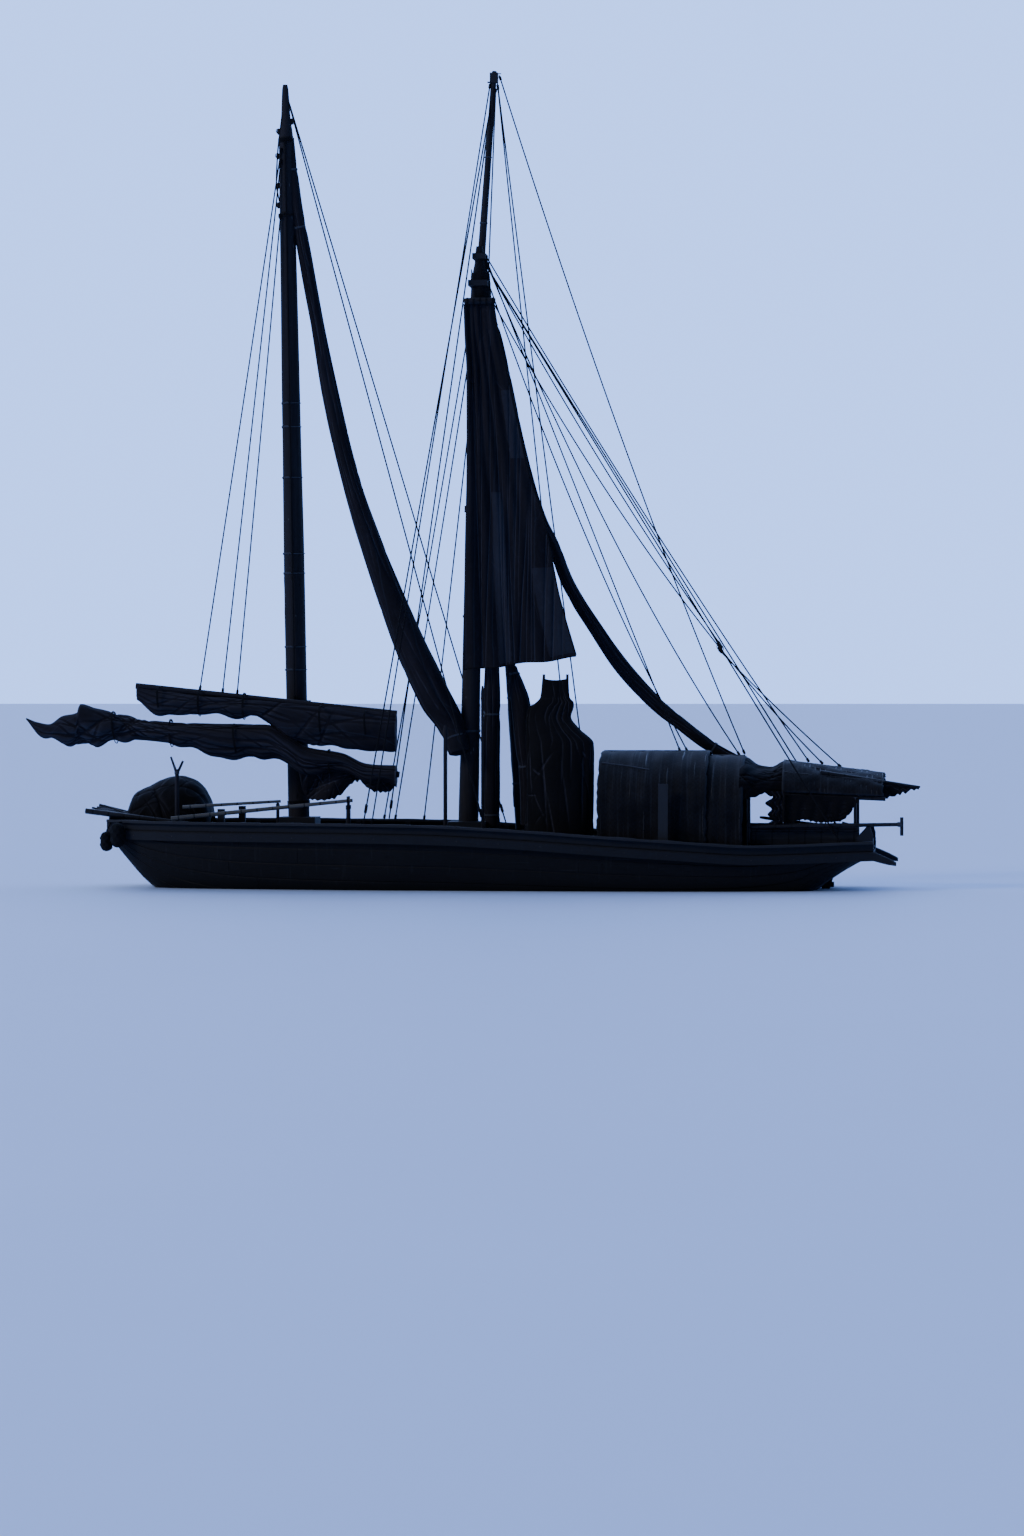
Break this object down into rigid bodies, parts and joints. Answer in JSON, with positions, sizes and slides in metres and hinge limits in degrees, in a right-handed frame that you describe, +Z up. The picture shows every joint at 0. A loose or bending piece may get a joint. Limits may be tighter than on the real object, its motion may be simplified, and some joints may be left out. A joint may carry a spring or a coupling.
{
  "type": "two-masted chinese junk with lowered and furled sails",
  "caption": "Small two-masted wooden sailing junk afloat, sails furled, with arched mat shelter, stern canopy, rudder and swinging booms.",
  "frame": {"origin": "on the waterline, amidships on the centreline", "axes": "+X aft to the stern, +Y to starboard, +Z up"},
  "size_m": [10.8967, 2.556, 10.6467],
  "materials": {
    "tarred_wood": "matte",
    "weathered_wood": "matte",
    "spar_wood": "satin",
    "pole_wood": "matte",
    "sail_cloth": "matte",
    "canvas": "matte",
    "split_bamboo_mat": "matte",
    "rope": "matte"
  },
  "bodies": {
    "hull": {"hull_body": "tarred_wood", "keel_plank": "tarred_wood", "deck": "weathered_wood", "bulwark_port": "tarred_wood", "bulwark_starboard": "tarred_wood", "caprail_port": "weathered_wood", "caprail_starboard": "weathered_wood", "wale_port": "tarred_wood", "wale_starboard": "tarred_wood", "bow_beam": "tarred_wood", "bow_spar": "pole_wood", "stern_beam": "tarred_wood", "stern_horn_port": "tarred_wood", "stern_horn_starboard": "tarred_wood", "mooring_bitt_port": "tarred_wood", "mooring_bitt_starboard": "tarred_wood", "fore_mast_partner": "tarred_wood", "main_mast_partner": "tarred_wood", "foremast": "spar_wood", "main_mast": "spar_wood", "topmast": "spar_wood", "topmast_band_lower": "tarred_wood", "topmast_band_upper": "tarred_wood", "rudder_beam": "tarred_wood", "rudder_gudgeon": "tarred_wood", "fore_sail_roll": "sail_cloth", "main_sail_folds": "sail_cloth", "main_sail_roll": "sail_cloth", "shelter_mat_fore": "split_bamboo_mat", "shelter_mat_aft": "split_bamboo_mat", "shelter_frame": "pole_wood", "canopy_mat": "split_bamboo_mat", "awning": "canvas", "canopy_frame": "pole_wood", "canopy_curtain": "canvas", "canopy_pole": "pole_wood", "t_handled_pole": "pole_wood", "foredeck_heap": "canvas", "boom_crutch": "pole_wood", "cover_posts": "pole_wood", "canvas_cover": "canvas", "side_post": "weathered_wood", "leaning_spar": "pole_wood", "main_forestay_port": "rope", "main_forestay_starboard": "rope", "main_backstay_port": "rope", "main_backstay_starboard": "rope", "fore_backstay_port": "rope", "fore_backstay_starboard": "rope"},
    "rudder_and_tiller": {"rudder": "tarred_wood", "tiller": "pole_wood"},
    "lowered_foresail": {"fore_boom": "spar_wood", "fore_yard": "spar_wood", "foresail_bundle_lower": "sail_cloth", "foresail_bundle_upper": "sail_cloth", "fore_boom_parrel": "tarred_wood", "fore_yard_parrel": "tarred_wood"},
    "main_yard_and_sail": {"main_yard": "spar_wood", "main_parrel": "tarred_wood", "main_sail_cloth": "sail_cloth"}
  },
  "joints": [
    {"name": "rudder_turn", "type": "hinge", "parent": "hull", "child": "rudder_and_tiller", "pos_m": [4.05, 0, 0], "axis": [0.2873, 0, 0.9578], "range_deg": [-35, 35]},
    {"name": "foresail_swing", "type": "hinge", "parent": "hull", "child": "lowered_foresail", "pos_m": [-2.39, 0, 0.65], "axis": [-0.0182, 0, 0.9998], "range_deg": [-70, 70]},
    {"name": "main_yard_swing", "type": "hinge", "parent": "hull", "child": "main_yard_and_sail", "pos_m": [-0.305, 0, 0.6], "axis": [-0.0194, 0, -0.9998], "range_deg": [0, 75]}
  ]
}
